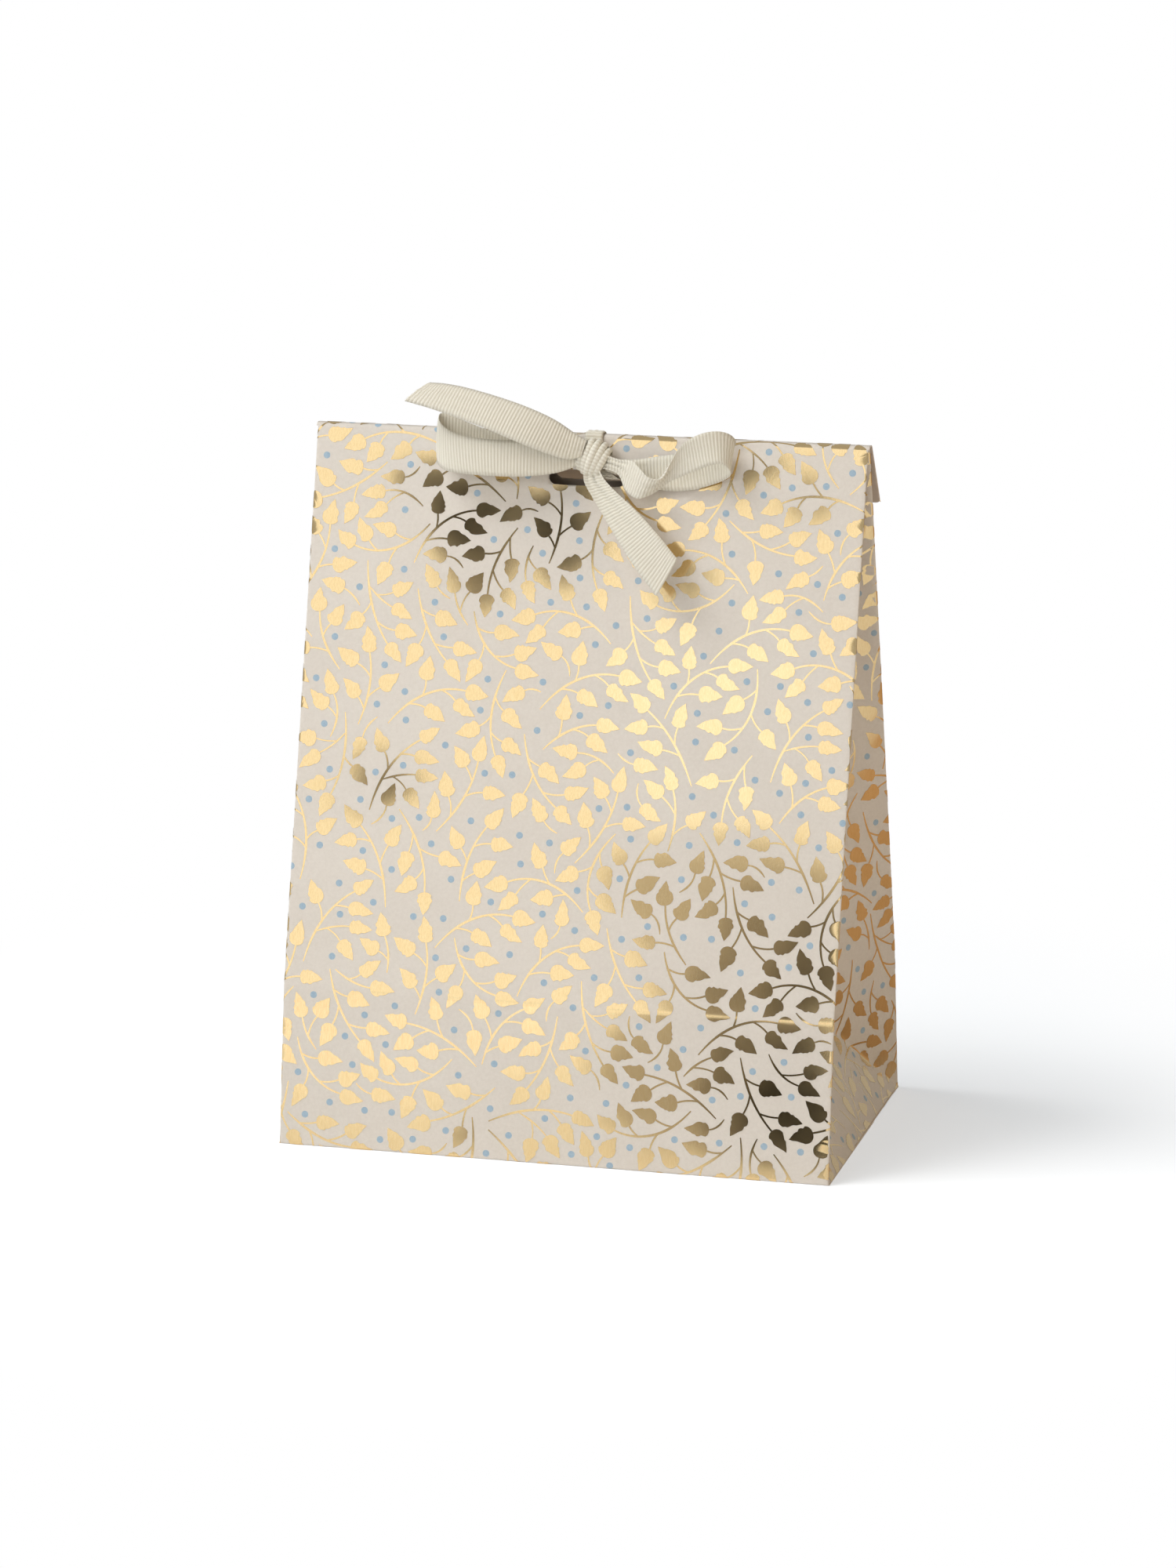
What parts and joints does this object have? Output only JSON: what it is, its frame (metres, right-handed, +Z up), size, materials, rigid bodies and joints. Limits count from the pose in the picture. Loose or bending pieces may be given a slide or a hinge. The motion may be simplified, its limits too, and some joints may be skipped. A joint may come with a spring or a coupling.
{
  "type": "gift bag",
  "caption": "Folded paper gift bag with side gussets, a flat stiffened base, a fold-over closure flap and a ribbon bow tied through die-cut slots at the top.",
  "frame": {"origin": "centre of the base on the floor", "axes": "+X across the front wall to its right as seen from the front, +Y from the front to the back, +Z up"},
  "size_m": [0.1802, 0.1086, 0.2436],
  "materials": {
    "printed_paper": "smooth coated cream paper with gold foil leaf sprigs and pale blue dots",
    "card": "plain grey board",
    "ribbon": "cream grosgrain with fine cross ribs"
  },
  "bodies": {
    "bag": {"back_wall_lower": "printed_paper", "back_wall_upper": "printed_paper", "base_board": "card", "base_flap_back": "printed_paper", "base_flap_front": "printed_paper", "base_tuck_left": "printed_paper", "base_tuck_right": "printed_paper", "front_wall_lower": "printed_paper", "front_wall_upper": "printed_paper", "gusset_back_lower_left": "printed_paper", "gusset_back_lower_right": "printed_paper", "gusset_back_middle_left": "printed_paper", "gusset_back_middle_right": "printed_paper", "gusset_back_upper_left": "printed_paper", "gusset_back_upper_right": "printed_paper", "gusset_front_lower_left": "printed_paper", "gusset_front_lower_right": "printed_paper", "gusset_front_middle_left": "printed_paper", "gusset_front_middle_right": "printed_paper", "gusset_front_upper_left": "printed_paper", "gusset_front_upper_right": "printed_paper", "gusset_triangle_left": "printed_paper", "gusset_triangle_right": "printed_paper", "strap_back": "ribbon", "strap_through": "ribbon", "strap_top": "ribbon", "top_fold": "printed_paper"},
    "flap": {"closure_flap": "printed_paper"},
    "bow": {"knot_core": "ribbon", "knot_wrap": "ribbon", "loop_left": "ribbon", "loop_right": "ribbon"},
    "left_tail": {"tail_left": "ribbon"},
    "right_tail": {"tail_right": "ribbon"}
  },
  "joints": [
    {"name": "flap_fold", "type": "hinge", "parent": "bag", "child": "flap", "pos_m": [0, 0.002, 0.22475], "axis": [1, 0, 0], "range_deg": [-18, 140], "deforming": ["strap_back"]},
    {"name": "bow_swivel", "type": "hinge", "parent": "bag", "child": "bow", "pos_m": [0.0026, -0.00326, 0.2179], "axis": [0, -0.9674, 0.2532], "range_deg": [-15, 15]},
    {"name": "left_tail_lift", "type": "hinge", "parent": "bow", "child": "left_tail", "pos_m": [-0.0022, -0.00918, 0.22214], "axis": [0.284, 0.2428, 0.9276], "range_deg": [0, 60]},
    {"name": "right_tail_lift", "type": "hinge", "parent": "bow", "child": "right_tail", "pos_m": [0.0026, -0.00889, 0.21103], "axis": [-0.7604, -0.1645, -0.6283], "range_deg": [-10, 60]}
  ]
}
